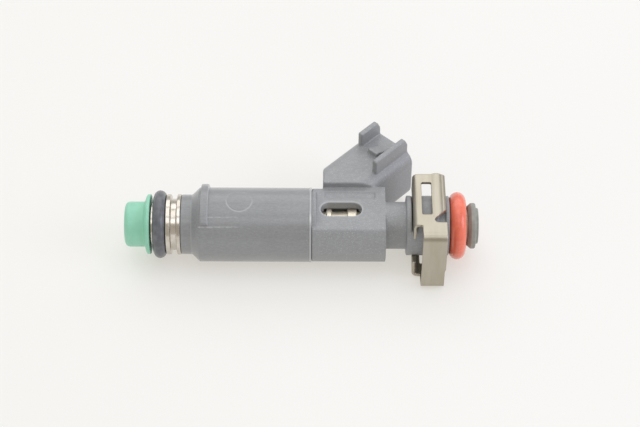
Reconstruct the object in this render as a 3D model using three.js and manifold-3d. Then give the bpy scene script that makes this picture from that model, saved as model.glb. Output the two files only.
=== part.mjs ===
// A top-feed fuel injector lying on its side, in millimetres.
// +X runs along the axis from the spray end to the fuel inlet, +Y is the side the electrical
// connector leans to, +Z is square to the two flats of the body.
// Stations along the axis are counted from the spray tip; the whole assembly is shifted at the end
// so that the origin is on the axis, in the middle of the upper O-ring.

import * as THREE from 'three';
import { mergeVertices } from 'three/addons/utils/BufferGeometryUtils.js';
import Module from 'manifold-3d';

const wasm = await Module();
wasm.setup();

// ---------------------------------------------------------------- driving dimensions

const seatGap = 0.05;            // radial and end gap between pieces that seat on each other
const smallChamfer = 0.15;
const overlap = 0.5;             // how far shapes joined into one piece reach into each other
const guideGap = 0.08;           // running gap round the armature and the ball
const roundSides = 36;           // sides of the large turned pieces
const smallSides = 20;           // sides of the small turned pieces

const sealRadius = 7.3;          // outside of both O-rings
const lowerSealWidth = 2.75;
const sealGap = 0.55;            // between the lower O-ring and the cap's flange
const upperSealWidth = 3.55;

const capBarrelRadius = 4.85;
const capBarrelLength = 4.6;
const capFlangeRadius = 6.45;
const capFlangeWidth = 0.9;
const capEdgeRound = 1.0;
const sprayHoleRadius = 1.9;
const capFlare = 0.4;            // where the barrel of the cap flares out to its flange
const capFlangeLead = 0.25;      // length and depth of the flange's leading edge
const capFlangeTaper = 0.35;
const capFloor = 1.4;            // thickness of the cap's front wall

const tipRadius = 3.5;           // steel tube inside the cap
const steelBore = 2.6;
const firstRingWidth = 1.0;
const firstRingRadius = 6.45;
const steelGrooveWidth = 1.3;
const steelGrooveRadius = 5.5;
const secondRingWidth = 0.85;
const secondRingRadius = 6.5;
const steelShankRadius = 5.0;
const steelShankLength = 10.1;

const noseRadius = 6.4;
const noseLength = 2.3;
const coneLength = 1.6;
const barrelRadius = 7.95;
const barrelLength = 23.9;
const barrelWall = 0.7;
const ribHeight = 0.75;          // how far the half ring stands above the barrel
const ribWidth = 1.65;
const ribSetback = 0.35;
const partingAngle = 135;        // degrees from +Y toward +Z, the mould parting plane

const bodyStep = 0.1;            // how much smaller in radius the body is than the barrel
const bodyLength = 15.8;
const flatHalf = 5.0;            // half distance across the two flats
const neckRadius = 5.05;
const neckLength = 4.4;
const collarRadius = 6.4;
const collarLength = 9.15;
const collarGroove = 0.4;        // depth of the shallow groove near the collar's outer end
const collarLand = 1.0;          // from the groove to the collar's outer end
const collarGrooveWidth = 1.4;
const collarGrooveSlope = 0.2;
const spigotLength = 1.2;

const slotLength = 8.8;
const slotHeight = 4.0;
const slotSetback = 1.9;         // from the start of the body to the slot
const panelLength = 10.8;        // shallow recessed panel on each flat
const panelHeight = 1.65;
const panelDepth = 0.25;
const panelBottom = 3.35;
const panelInset = 0.4;          // from the connector's upright wall to the panel

const leanAngle = 47;            // degrees, connector axis from +X toward +Y
const shroudWidth = 12.4;
const shroudHeight = 13.0;
const shroudRound = 3.0;
const shroudWall = 1.3;
const leanSetback = 0.776;       // the connector's centre line meets the axis this far before the body
const mouthReach = 26.783;       // from that meeting point to the connector's mouth
const socketDepth = 9.0;
const shroudSetback = 2.4;       // from the start of the body to the connector's upright wall
const shroudDrop = 1.49;         // underside of the connector block, below the body's radius

const railHeight = 3.5;
const railThickness = 1.15;
const railSpacing = 7.95;
const shortRail = 6.1;
const longRail = 10.3;
const railChamfer = 0.9;
const wedgeWidth = 2.6;
const wedgeLength = 2.9;
const wedgeHeight = 1.2;
const wedgeCrest = 0.5;          // level length at the tall end of the latch wedge
const wedgeSetback = 3.65;       // from the mouth to the thin end of the latch wedge

const pinWidth = 1.6;
const pinThickness = 0.64;
const pinPitch = 3.8;
const pinReach = 6.5;            // bare length of a pin inside the socket
const pinLegRise = 0.4;          // of the legs' middle above the armature's sleeve
const pinLegOffset = 1.75;       // from the middle plane to the middle of each leg
const pinLegWidth = 1.0;
const legNotchHalf = 2.9;        // half width of the washer's notch round both legs

const tubeRadius = 2.9;
const tubeBore = 1.7;
const tubeRingRadius = 3.5;      // two raised rings, seen through the slots
const firstTubeRing = 1.2;       // widths of the two rings
const secondTubeRing = 2.1;
const firstRingInset = 1.2;      // from the slot's left end to the first ring
const secondRingInset = 1.0;     // from the second ring to the slot's right end
const ringRoom = 0.6;            // the wider bore round the rings starts this far inside the slot
const spigotDepth = 2.3;
const spigotBore = 2.15;         // where the pole piece plugs into the tube
const tubeHeadRadius = 3.7;
const tubeHeadBore = 2.9;
const headSetback = 5.2;         // head of the tube inside the collar

const discRadius = 4.9;
const discWidth = 2.3;
const discBackRadius = 4.25;
const discFaceRadius = 3.85;
const discStep = 0.5;
const discGap = 0.35;
const discChamfer = 0.75;
const discRecess = 0.15;         // the tube ends this far inside the disc's face
const neckRelief = 0.1;
const discEdge = 0.25;
const discSeat = 1.0;            // depth of the disc's seat on the tube's end

const filterGap = 0.1;
const filterSetback = 1.6;       // from the tube's head to the filter's closed end
const filterRecess = 0.3;
const filterFloor = 0.6;
const filterRim = 1.2;
const filterWall = 0.6;
const filterRibs = 4;
const filterRibHalf = 0.35;
const meshRecess = 0.1;
const meshThickness = 0.15;

const ballRadius = 1.4;
const seatBore = 0.45;
const seatThroat = 0.6;          // length of the straight bore before the cone
const seatLand = 0.3;
const seatConeRadius = 1.9;
const seatConeAngle = 44;        // degrees, half angle of the seat cone
const plateSetback = 1.0;        // from the cap's wall to the spray plate
const plateThickness = 0.4;
const guideThickness = 1.0;
const guideLobes = 5;            // fuel passes through this many flutes round the ball
const guideFlute = 0.32;
const sprayHoles = 4;
const sprayHoleCircle = 0.7;
const sprayHoleSize = 0.15;
const rodRadius = 0.9;
const rodBore = 0.5;
const rodRecess = 0.1;           // the rod ends this far below the spring's pocket
const weldGap = 0.02;            // between the rod and the ball
const armatureSetback = 0.4;     // from the can's outer face to the armature
const armatureLength = 6.4;
const springPocket = 1.5;
const pocketDepth = 3.5;
const needleLift = 0.1;
const poleGap = 0.15;
const sleeveShare = 0.40506;     // how far the sleeve lies from the steel's bore to the can's
const sleeveWall = 0.5;
const poleSetback = 1.4;         // the pole piece ends this far inside the barrel
const springWire = 0.4;
const springCoilRadius = 1.1;
const springTurns = 7;
const springLength = 7.2;
const adjusterGap = 0.15;
const adjusterWall = 0.5;
const adjusterOpening = 25;      // degrees, half of the split in the adjuster
const adjusterSetback = 0.55;    // the adjuster ends this far inside the pole piece
const canWall = 0.65;
const canFloor = 0.9;
const sleeveSetback = 0.2;       // the sleeve and the washer end this far inside the pole piece's end
const washerThickness = 1.2;
const bobbinWall = 0.5;
const bobbinCheek = 0.7;
const coilClearance = 0.5;       // between the winding and the can

const gripRoom = 0.25;           // of the cuts in the collar round the gripping flanges
const gripDepthRoom = 0.15;
const clipClearance = 0.9;       // between the collar and the inside of each leg
const clipSheet = 0.7;
const clipBend = 1.9;            // outside radius of the two bends
const clipDrop = 4.2;            // between the collar and the inside of the web
const clipTop = 7.75;            // free ends of the legs
const clipInner = 3.6;           // inner edges of the gripping flanges
const clipSetback = 1.3;         // from the start of the collar to the gripping flanges' outer face
const clipWidth = 7.0;
const clipEdgeBend = 1.2;        // outside radius between a leg and its gripping flange
const clipFlangeEnd = -7.5;
const clipWebInset = 1.85;       // from the gripping flanges' outer face to the edge of the web
const windowInset = 1.85;
const windowWidth = 2.1;
const windowTop = 5.2;
const windowBottom = -4.3;
const notchHeight = -5.85;
const notchRadius = 0.7;
const notchDepth = 2.5;
const lipWidth = 2.95;
const lipRise = 0.3;
const lipCurl = 0.5;             // how far the lip's free edge turns back in
const lipSlant = 2.6;            // length along Y of the lip's slanted lower corner

const clear = 20;                // past anything that a cutting block has to clear

// ---------------------------------------------------------------- stations along the axis

const capFlangeStart = capBarrelLength;
const capEnd = capFlangeStart + capFlangeWidth;
const lowerSealStart = capEnd + seatGap + sealGap;
const lowerSealCentre = lowerSealStart + lowerSealWidth / 2;
const firstRingStart = lowerSealStart + lowerSealWidth + seatGap;
const grooveStart = firstRingStart + firstRingWidth;
const secondRingStart = grooveStart + steelGrooveWidth;
const noseStart = secondRingStart + secondRingWidth + seatGap;
const shankEnd = noseStart + steelShankLength;
const coneStart = noseStart + noseLength;
const barrelStart = coneStart + coneLength;
const barrelEnd = barrelStart + barrelLength;
const bodyStart = barrelEnd + seatGap;
const bodyEnd = bodyStart + bodyLength;
const collarStart = bodyEnd + neckLength;
const collarEnd = collarStart + collarLength;
const upperSealStart = collarEnd + seatGap;
const upperSealCentre = upperSealStart + upperSealWidth / 2;
const discStart = upperSealStart + upperSealWidth + discGap;
const discEnd = discStart + discWidth;

const clipLeft = collarStart + clipSetback;
const clipRight = clipLeft + clipWidth;
const clipWebLeft = clipLeft + clipWebInset;
const clipHalf = collarRadius + clipClearance + clipSheet;   // outer face of each leg
const clipWeb = -(collarRadius + clipDrop + clipSheet);      // outer face of the web

const bodyRadius = barrelRadius - bodyStep;
const shroudBase = bodyRadius - shroudDrop;
const leanStart = bodyStart - leanSetback;
const boreRadius = barrelRadius - barrelWall;
const canRadius = boreRadius - seatGap;
const canBore = canRadius - canWall;
const coilRadius = canBore - coilClearance + seatGap;
const sleeveRadius = steelBore + sleeveShare * (canBore - steelBore);
const sleeveBore = sleeveRadius - sleeveWall;
const pinLegHeight = sleeveRadius + pinLegRise;
const canStart = shankEnd + seatGap;
const canFloorEnd = canStart + canFloor;
const plateStart = capFloor + plateSetback;
const seatStart = plateStart + plateThickness + seatGap;
const coneLow = seatStart + seatThroat;
const coneTan = Math.tan(THREE.MathUtils.degToRad(seatConeAngle));
const coneSin = Math.sin(THREE.MathUtils.degToRad(seatConeAngle));
const coneHigh = coneLow + (seatConeRadius - seatBore) / coneTan;
const seatEnd = coneHigh + seatLand;
const ballCentre = coneLow - seatBore / coneTan + ballRadius / coneSin + seatGap;
const rodStart = ballCentre + Math.sqrt(ballRadius ** 2 - rodBore ** 2) + weldGap;
const armatureStart = canStart + armatureSetback;
const armatureEnd = armatureStart + armatureLength;
const pocketStart = armatureEnd - pocketDepth;
const poleStart = armatureEnd + needleLift + poleGap;
const poleEnd = barrelEnd - poleSetback;
const springStart = pocketStart + 2 * seatGap;
const adjusterStart = springStart + springLength + 2 * seatGap;
const adjusterLength = poleEnd - adjusterSetback - adjusterStart;
const bobbinStart = canFloorEnd + seatGap;
const washerEnd = poleEnd - sleeveSetback;
const washerStart = washerEnd - washerThickness;
const bobbinEnd = washerStart - seatGap;
const tubeStart = poleEnd + seatGap;
const tubeEnd = discEnd - discRecess;
const headStart = collarEnd - headSetback;
const sealSeatRadius = sealRadius - upperSealWidth - seatGap;

// ---------------------------------------------------------------- tools for shapes

// Vertices and triangles with shared corners, collapsed triangles left out.
function solid(geometry) {
  const bare = geometry.clone();
  bare.deleteAttribute('normal');
  bare.deleteAttribute('uv');
  const merged = mergeVertices(bare);
  const index = merged.index.array;
  const kept = [];
  for (let i = 0; i < index.length; i += 3) {
    const [a, b, c] = [index[i], index[i + 1], index[i + 2]];
    if (a !== b && b !== c && c !== a) kept.push(a, b, c);
  }
  return new wasm.Manifold(new wasm.Mesh({
    numProp: 3,
    vertProperties: new Float32Array(merged.attributes.position.array),
    triVerts: new Uint32Array(kept),
  }));
}

function geometryOf(manifold) {
  const mesh = manifold.getMesh();
  const geometry = new THREE.BufferGeometry();
  geometry.setAttribute('position', new THREE.BufferAttribute(mesh.vertProperties, 3));
  geometry.setIndex(new THREE.BufferAttribute(mesh.triVerts, 1));
  geometry.computeVertexNormals();
  return geometry;
}

// A solid of revolution about X, from [station, radius] points that go once round its section.
function turned(outline, sides = roundSides) {
  const open = outline[0][1] === 0 && outline.at(-1)[1] === 0;
  const loop = open ? [...outline] : [...outline, outline[0]];
  let area = 0;
  loop.forEach(([x, r], i) => {
    const [nextX, nextR] = loop[(i + 1) % loop.length];
    area += x * nextR - nextX * r;
  });
  if (area > 0) loop.reverse();
  const points = loop.map(([x, r]) => new THREE.Vector2(r, x));
  return new THREE.LatheGeometry(points, sides).rotateZ(-Math.PI / 2);
}

function tube(start, end, bore, radius, sides = roundSides) {
  return turned([[start, bore], [end, bore], [end, radius], [start, radius]], sides);
}

function rod(start, end, radius, sides = roundSides) {
  return turned([[start, 0], [start, radius], [end, radius], [end, 0]], sides);
}

// Points of an arc in a [station, radius] section, angles in degrees.
function arc(x, r, radius, from, to, steps) {
  return Array.from({ length: steps + 1 }, (_, i) => {
    const angle = THREE.MathUtils.degToRad(from + (to - from) * i / steps);
    return [x + radius * Math.cos(angle), r + radius * Math.sin(angle)];
  });
}

function block(x0, x1, y0, y1, z0, z1) {
  const box = new THREE.BoxGeometry(x1 - x0, y1 - y0, z1 - z0);
  return box.translate((x0 + x1) / 2, (y0 + y1) / 2, (z0 + z1) / 2);
}

function roundedRectangle(width, height, radius) {
  const [w, h] = [width / 2, height / 2];
  const shape = new THREE.Shape();
  shape.absarc(w - radius, h - radius, radius, 0, Math.PI / 2);
  shape.absarc(radius - w, h - radius, radius, Math.PI / 2, Math.PI);
  shape.absarc(radius - w, radius - h, radius, Math.PI, Math.PI * 1.5);
  shape.absarc(w - radius, radius - h, radius, Math.PI * 1.5, Math.PI * 2);
  return shape;
}

function extruded(shape, depth, curveSegments = 8) {
  return new THREE.ExtrudeGeometry(shape, { depth, bevelEnabled: false, curveSegments });
}

// A shape drawn in the plane square to X (first axis +Y, second +Z), pulled along +X from start.
function acrossAxis(shape, start, depth, curveSegments = 8) {
  const geometry = extruded(shape, depth, curveSegments);
  const basis = new THREE.Matrix4().makeBasis(
    new THREE.Vector3(0, 1, 0), new THREE.Vector3(0, 0, 1), new THREE.Vector3(1, 0, 0));
  return geometry.applyMatrix4(basis).translate(start, 0, 0);
}

// The connector's own axes: first across it in the flats' plane, second +Z, third out of its mouth.
const lean = THREE.MathUtils.degToRad(leanAngle);
const leanOut = new THREE.Vector3(Math.cos(lean), Math.sin(lean), 0);
const leanAcross = new THREE.Vector3(Math.sin(lean), -Math.cos(lean), 0);
const leanFrame = new THREE.Matrix4().makeBasis(
  leanAcross.clone().negate(), new THREE.Vector3(0, 0, 1), leanOut);

// Distances from the tip along and across the connector, whose centre line crosses the axis.
const crossing = leanStart * leanOut.x;
const shroudOffset = leanStart * leanAcross.x;
const mouthDistance = crossing + mouthReach;

function alongConnector(geometry, distance, offset = shroudOffset) {
  const place = leanOut.clone().multiplyScalar(distance).addScaledVector(leanAcross, offset);
  return geometry.applyMatrix4(leanFrame).translate(place.x, place.y, place.z);
}

const assembly = new THREE.Group();

function piece(name, shape, colour, roughness, metalness) {
  const geometry = shape.isBufferGeometry ? shape : geometryOf(shape);
  const material = new THREE.MeshStandardMaterial({ color: colour, roughness, metalness });
  const mesh = new THREE.Mesh(geometry, material);
  mesh.name = name;
  assembly.add(mesh);
}

const greyPlastic = ['#8f9294', 0.45, 0];
const greenPlastic = ['#86c2a8', 0.4, 0];
const steel = ['#cfcbc4', 0.25, 1];
const brightSteel = ['#e0ddd6', 0.15, 1];

// ---------------------------------------------------------------- spray end

function nozzleCap() {
  const boreStep = tipRadius + seatGap;
  return turned([
    [0, sprayHoleRadius],
    ...arc(capEdgeRound, capBarrelRadius - capEdgeRound, capEdgeRound, 180, 90, 4),
    [capBarrelLength - capFlare, capBarrelRadius],
    [capFlangeStart, capFlangeRadius - capFlangeTaper],
    [capFlangeStart + capFlangeLead, capFlangeRadius],
    [capEnd - smallChamfer, capFlangeRadius],
    [capEnd, capFlangeRadius - smallChamfer],
    [capEnd, boreStep],
    [capFloor, boreStep],
    [capFloor, sprayHoleRadius],
  ]);
}

function sealRing(centre, width, sides = 12) {
  const section = arc(centre, sealRadius - width / 2, width / 2, 0, 360, sides);
  return turned(section.slice(0, -1));
}

function nozzleBarrel() {
  const sealSeat = sealRadius - lowerSealWidth - seatGap;
  return turned([
    [capFloor + seatGap, steelBore],
    [capFloor + seatGap, tipRadius],
    [capEnd + seatGap, tipRadius],
    [capEnd + seatGap, sealSeat],
    [firstRingStart, sealSeat],
    [firstRingStart, firstRingRadius],
    [grooveStart, firstRingRadius],
    [grooveStart, steelGrooveRadius],
    [secondRingStart, steelGrooveRadius],
    [secondRingStart, secondRingRadius],
    [noseStart - seatGap, secondRingRadius],
    [noseStart - seatGap, steelShankRadius],
    [shankEnd, steelShankRadius],
    [shankEnd, steelBore],
  ]);
}

function orificePlate() {
  const shape = new THREE.Shape().absarc(0, 0, steelBore - seatGap, 0, Math.PI * 2);
  for (let i = 0; i < sprayHoles; i += 1) {
    const angle = (i + 0.5) * Math.PI * 2 / sprayHoles;
    const hole = new THREE.Path();
    const [y, z] = [sprayHoleCircle * Math.cos(angle), sprayHoleCircle * Math.sin(angle)];
    hole.absarc(y, z, sprayHoleSize, 0, Math.PI * 2);
    shape.holes.push(hole);
  }
  return acrossAxis(shape, plateStart, plateThickness, 8);
}

function valveSeat() {
  const radius = steelBore - seatGap;
  return turned([
    [seatStart, seatBore],
    [coneLow, seatBore],
    [coneHigh, seatConeRadius],
    [seatEnd, seatConeRadius],
    [seatEnd, radius],
    [seatStart, radius],
  ], smallSides);
}

function ballGuide() {
  const shape = new THREE.Shape().absarc(0, 0, steelBore - seatGap, 0, Math.PI * 2);
  const hole = new THREE.Path();
  const inner = ballRadius + guideGap;
  for (let i = 0; i < guideLobes; i += 1) {
    const from = i * Math.PI * 2 / guideLobes;
    const to = from + Math.PI / guideLobes;
    const next = from + Math.PI * 2 / guideLobes;
    hole.absarc(0, 0, inner, from, to, false);
    hole.absarc(0, 0, inner + guideFlute, to, next, false);
  }
  hole.closePath();
  shape.holes.push(hole);
  return acrossAxis(shape, seatEnd + seatGap, guideThickness, 6);
}

// ---------------------------------------------------------------- needle, magnet and spring

function valveBall() {
  return new THREE.SphereGeometry(ballRadius, smallSides, 12).translate(ballCentre, 0, 0);
}

function armature() {
  const radius = sleeveBore - guideGap;
  const rodHole = rodRadius + seatGap;
  return turned([
    [armatureStart, rodHole],
    [pocketStart, rodHole],
    [pocketStart, springPocket],
    [armatureEnd, springPocket],
    [armatureEnd, radius],
    [armatureStart, radius],
  ], smallSides);
}

// A round wire wound on a helix round X, its ends stopping square.
class Helix extends THREE.Curve {
  getPoint(t, target = new THREE.Vector3()) {
    const angle = t * springTurns * Math.PI * 2;
    const x = springStart + springWire / 2 + t * (springLength - springWire);
    return target.set(x, springCoilRadius * Math.cos(angle), springCoilRadius * Math.sin(angle));
  }
}

function returnSpring() {
  const section = new THREE.Shape().absarc(0, 0, springWire / 2, 0, Math.PI * 2);
  return new THREE.ExtrudeGeometry(section, {
    steps: springTurns * 12,
    curveSegments: 3,
    extrudePath: new Helix(),
    bevelEnabled: false,
  });
}

function springAdjuster() {
  const opening = THREE.MathUtils.degToRad(adjusterOpening);
  const outer = tubeBore - seatGap - adjusterGap;
  const shape = new THREE.Shape();
  shape.absarc(0, 0, outer, opening, Math.PI * 2 - opening, false);
  shape.absarc(0, 0, outer - adjusterWall, Math.PI * 2 - opening, opening, true);
  return acrossAxis(shape, adjusterStart, adjusterLength, 8);
}

function polePiece() {
  const spigot = spigotBore - seatGap;
  const radius = sleeveBore - seatGap;
  return turned([
    [poleStart, springPocket + seatGap],
    [poleEnd + 2, springPocket + seatGap],
    [poleEnd + 2, spigot],
    [poleEnd, spigot],
    [poleEnd, radius],
    [poleStart, radius],
  ]);
}

function coilBobbin() {
  const inner = sleeveRadius + seatGap;
  return turned([
    [bobbinStart, inner],
    [bobbinEnd, inner],
    [bobbinEnd, canBore - seatGap],
    [bobbinEnd - bobbinCheek, canBore - seatGap],
    [bobbinEnd - bobbinCheek, inner + bobbinWall],
    [bobbinStart + bobbinCheek, inner + bobbinWall],
    [bobbinStart + bobbinCheek, canBore - seatGap],
    [bobbinStart, canBore - seatGap],
  ]);
}

function coilWinding() {
  const start = bobbinStart + bobbinCheek + seatGap;
  const end = bobbinEnd - bobbinCheek - seatGap;
  return tube(start, end, sleeveRadius + bobbinWall + 2 * seatGap, coilRadius);
}

function solenoidCan() {
  const floorBore = sleeveRadius + seatGap;
  return turned([
    [canStart, floorBore],
    [canFloorEnd, floorBore],
    [canFloorEnd, canBore],
    [washerEnd, canBore],
    [washerEnd, canRadius],
    [canStart, canRadius],
  ]);
}

function canWasher() {
  const ring = solid(tube(washerStart, washerEnd, sleeveRadius + seatGap, canBore - seatGap));
  const notch = pinLegHeight - pinThickness;
  const cut = block(washerStart - 1, washerEnd + 1, notch, canRadius, -legNotchHalf, legNotchHalf);
  return ring.subtract(solid(cut));
}

// ---------------------------------------------------------------- grey barrel

function barrelSleeve() {
  const shankBore = steelShankRadius + seatGap;
  const shell = solid(turned([
    [noseStart, shankBore],
    [noseStart, noseRadius],
    [coneStart, noseRadius],
    [barrelStart, barrelRadius - smallChamfer],
    [barrelStart + smallChamfer, barrelRadius],
    [barrelEnd, barrelRadius],
    [barrelEnd, boreRadius],
    [shankEnd, boreRadius],
    [shankEnd, shankBore],
  ]));
  const end = THREE.MathUtils.degToRad(partingAngle);
  const shape = new THREE.Shape();
  shape.absarc(0, 0, barrelRadius + ribHeight, end - Math.PI, end, false);
  shape.absarc(0, 0, barrelRadius - overlap, end, end - Math.PI, true);
  const rib = acrossAxis(shape, barrelStart + ribSetback, ribWidth, roundSides / 2);
  return shell.add(solid(rib));
}

// ---------------------------------------------------------------- connector body

// The pins: a blade in the socket, a bridge to one side of the tube, and a leg to the coil.
function pinBlocks(side, grow) {
  const offset = shroudOffset - side * pinPitch / 2;
  const legZ = side * pinLegOffset;
  const legHalf = pinLegWidth / 2 + grow;
  const [halfWidth, halfThick] = [pinWidth / 2 + grow, pinThickness / 2 + grow];
  const floor = mouthDistance - socketDepth;
  const foot = (pinLegHeight + leanAcross.y * -offset) / leanOut.y;
  const bladeLength = floor + pinReach - foot;
  const blade = alongConnector(
    new THREE.BoxGeometry(2 * halfWidth, 2 * halfThick, bladeLength)
      .translate(0, 0, bladeLength / 2), foot, offset);
  const footX = leanOut.x * foot + leanAcross.x * offset;
  const legStart = bobbinEnd + seatGap - grow;
  const [y0, y1] = [pinLegHeight - halfThick, pinLegHeight + halfThick];
  const bridgeEnd = legZ + side * legHalf;
  const bridge = block(footX - halfWidth, footX + halfWidth, y0, y1,
    Math.min(-side * halfThick, bridgeEnd), Math.max(-side * halfThick, bridgeEnd));
  const leg = block(legStart, footX + halfWidth, y0, y1, legZ - legHalf, legZ + legHalf);
  return solid(blade).add(solid(bridge)).add(solid(leg));
}

function bodySegment() {
  const round = solid(rod(bodyStart, bodyEnd, bodyRadius));
  const root = solid(
    block(bodyStart + shroudSetback, bodyEnd, 0, shroudBase + overlap, -flatHalf, flatHalf));
  const slab = solid(block(bodyStart - 1, bodyEnd + 1, -clear, clear, -flatHalf, flatHalf));
  return round.intersect(slab).add(root);
}

function sideSlot(side) {
  const radius = slotHeight / 2;
  const start = bodyStart + slotSetback;
  const shape = new THREE.Shape();
  shape.absarc(start + slotLength - radius, 0, radius, -Math.PI / 2, Math.PI / 2, false);
  shape.absarc(start + radius, 0, radius, Math.PI / 2, Math.PI * 1.5, false);
  const cut = extruded(shape, flatHalf + 1);
  return solid(side > 0 ? cut : cut.translate(0, 0, -flatHalf - 1));
}

function shroud() {
  const outer = roundedRectangle(shroudWidth, shroudHeight, shroudRound);
  const bar = solid(alongConnector(extruded(outer, mouthReach), crossing));
  const [left, right] = [bodyStart + shroudSetback, bodyEnd + 2 * clear];
  const room = block(left, right, shroudBase, 2 * clear, -clear, clear);
  return bar.intersect(solid(room));
}

function socket() {
  const inner = roundedRectangle(
    shroudWidth - 2 * shroudWall, shroudHeight - 2 * shroudWall, shroudRound - shroudWall);
  return solid(alongConnector(extruded(inner, socketDepth + 1), mouthDistance - socketDepth));
}

// A plate standing on the connector's top face, drawn from its end toward the mouth: first axis
// out of the connector, second +Z. It ends at the given distance and straddles the given offset.
function standingPlate(shape, length, thickness, distance, offset) {
  const plate = extruded(shape, thickness).translate(-length, 0, -thickness / 2);
  const toConnector = new THREE.Matrix4().makeBasis(
    new THREE.Vector3(0, 0, 1), new THREE.Vector3(0, 1, 0), new THREE.Vector3(-1, 0, 0));
  return solid(alongConnector(plate.applyMatrix4(toConnector), distance, offset));
}

function latchRail(side, length) {
  const foot = shroudHeight / 2 - 0.5;
  const top = shroudHeight / 2 + railHeight;
  const shape = new THREE.Shape();
  shape.moveTo(0, foot);
  shape.lineTo(length, foot);
  shape.lineTo(length, top - railChamfer * 2);
  shape.lineTo(length - railChamfer, top);
  shape.lineTo(0, top);
  return standingPlate(shape, length, railThickness, mouthDistance,
    shroudOffset + side * railSpacing / 2);
}

function latchWedge() {
  const base = shroudHeight / 2;
  const shape = new THREE.Shape();
  shape.moveTo(0, base - 0.5);
  shape.lineTo(wedgeLength, base - 0.5);
  shape.lineTo(wedgeLength, base);
  shape.lineTo(wedgeCrest, base + wedgeHeight);
  shape.lineTo(0, base + wedgeHeight);
  return standingPlate(shape, wedgeLength, wedgeWidth, mouthDistance - wedgeSetback, shroudOffset);
}

// The outside of the collar, with its shallow groove.
function collar() {
  const grooveEnd = collarEnd - collarLand;
  const grooveBegin = grooveEnd - collarGrooveWidth;
  return solid(turned([
    [collarStart, 0],
    [collarStart, collarRadius],
    [grooveBegin - collarGrooveSlope, collarRadius],
    [grooveBegin, collarRadius - collarGroove],
    [grooveEnd, collarRadius - collarGroove],
    [grooveEnd + collarGrooveSlope, collarRadius],
    [collarEnd, collarRadius],
    [collarEnd, 0],
  ]));
}

// The room that the tube takes in the body, wider round its two rings and round its head.
function tubeRoom() {
  const bore = tubeRadius + seatGap;
  const ringBore = tubeRingRadius + seatGap;
  const headBore = tubeHeadRadius + seatGap;
  const slotStart = bodyStart + slotSetback;
  return solid(turned([
    [bodyStart - 5, 0],
    [bodyStart - 5, bore],
    [slotStart + ringRoom, bore],
    [slotStart + ringRoom, ringBore],
    [slotStart + slotLength - ringRoom, ringBore],
    [slotStart + slotLength - ringRoom, bore],
    [headStart - seatGap, bore],
    [headStart + headBore - bore - seatGap, headBore],
    [collarEnd + 1, headBore],
    [collarEnd + 1, 0],
  ]));
}

// A block on one side of the middle plane, from a near to a far distance.
function sideBlock(x0, x1, y0, y1, side, near, far) {
  return block(x0, x1, y0, y1, Math.min(side * near, side * far), Math.max(side * near, side * far));
}

function connectorBody() {
  let body = bodySegment()
    .add(solid(rod(bodyStart - spigotLength, bodyStart + overlap, boreRadius - seatGap)))
    .add(solid(rod(bodyEnd - overlap, collarStart + overlap, neckRadius)))
    .add(collar())
    .add(shroud())
    .add(latchRail(-1, shortRail))
    .add(latchRail(1, longRail))
    .add(latchWedge())
    .subtract(socket())
    .subtract(tubeRoom());
  const panelStart = bodyStart + shroudSetback + panelInset;
  const [gripStart, gripEnd] = [clipLeft - gripRoom, clipLeft + clipSheet + gripRoom];
  const [collarRoom, gripDepth] = [collarRadius + gripRoom, clipInner - gripDepthRoom];
  for (const side of [-1, 1]) {
    const panel = sideBlock(panelStart, panelStart + panelLength,
      panelBottom, panelBottom + panelHeight, side, flatHalf - panelDepth, flatHalf + 1);
    const grip = sideBlock(gripStart, gripEnd, -collarRoom, collarRoom, side, gripDepth, clear);
    body = body.subtract(sideSlot(side))
      .subtract(solid(panel))
      .subtract(solid(grip))
      .subtract(pinBlocks(side, seatGap));
  }
  return body;
}

// ---------------------------------------------------------------- inlet end

function inletTube() {
  const flare = tubeHeadRadius - tubeRadius;
  const firstRing = bodyStart + slotSetback + firstRingInset;
  const secondRing = bodyStart + slotSetback + slotLength - secondRingInset - secondTubeRing;
  const neck = discBackRadius - discSeat + seatGap;
  return turned([
    [tubeStart, spigotBore],
    [tubeStart, tubeRadius],
    [firstRing, tubeRadius],
    [firstRing, tubeRingRadius],
    [firstRing + firstTubeRing, tubeRingRadius],
    [firstRing + firstTubeRing, tubeRadius],
    [secondRing, tubeRadius],
    [secondRing, tubeRingRadius],
    [secondRing + secondTubeRing, tubeRingRadius],
    [secondRing + secondTubeRing, tubeRadius],
    [headStart, tubeRadius],
    [headStart + flare, tubeHeadRadius],
    [upperSealStart, tubeHeadRadius],
    [upperSealStart, sealSeatRadius],
    [discStart - neckRelief, sealSeatRadius],
    [discStart - neckRelief, neck],
    [tubeEnd, neck],
    [tubeEnd, tubeHeadBore],
    [headStart + flare, tubeHeadBore],
    [headStart, tubeBore],
    [tubeStart + spigotDepth, tubeBore],
    [tubeStart + spigotDepth, spigotBore],
  ]);
}

function inletDisc() {
  const bore = discBackRadius - discSeat + 2 * seatGap;
  return turned([
    [discStart, bore],
    [discStart, discBackRadius],
    [discStart + discChamfer, discRadius],
    [discEnd - discStep - discEdge, discRadius],
    [discEnd - discStep, discRadius - discEdge],
    [discEnd - discStep, discFaceRadius],
    [discEnd, discFaceRadius],
    [discEnd, bore],
  ]);
}

// The filter's frame: two rings joined by ribs, closed at its inner end.
function filterFrame() {
  const radius = tubeHeadBore - seatGap - filterGap;
  const start = headStart + filterSetback;
  const rim = tubeEnd - filterRecess;
  let frame = solid(rod(start, start + filterFloor, radius, smallSides))
    .add(solid(tube(rim - filterRim, rim, radius - filterWall, radius, smallSides)));
  const [ribStart, ribEnd] = [start + filterFloor / 2, rim - filterRim / 4];
  const [ribLow, ribHigh] = [radius - filterWall + seatGap, radius - seatGap];
  for (let i = 0; i < filterRibs; i += 1) {
    const rib = block(ribStart, ribEnd, ribLow, ribHigh, -filterRibHalf, filterRibHalf);
    frame = frame.add(solid(rib.rotateX((i + 0.5) * Math.PI * 2 / filterRibs)));
  }
  return frame;
}

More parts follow.
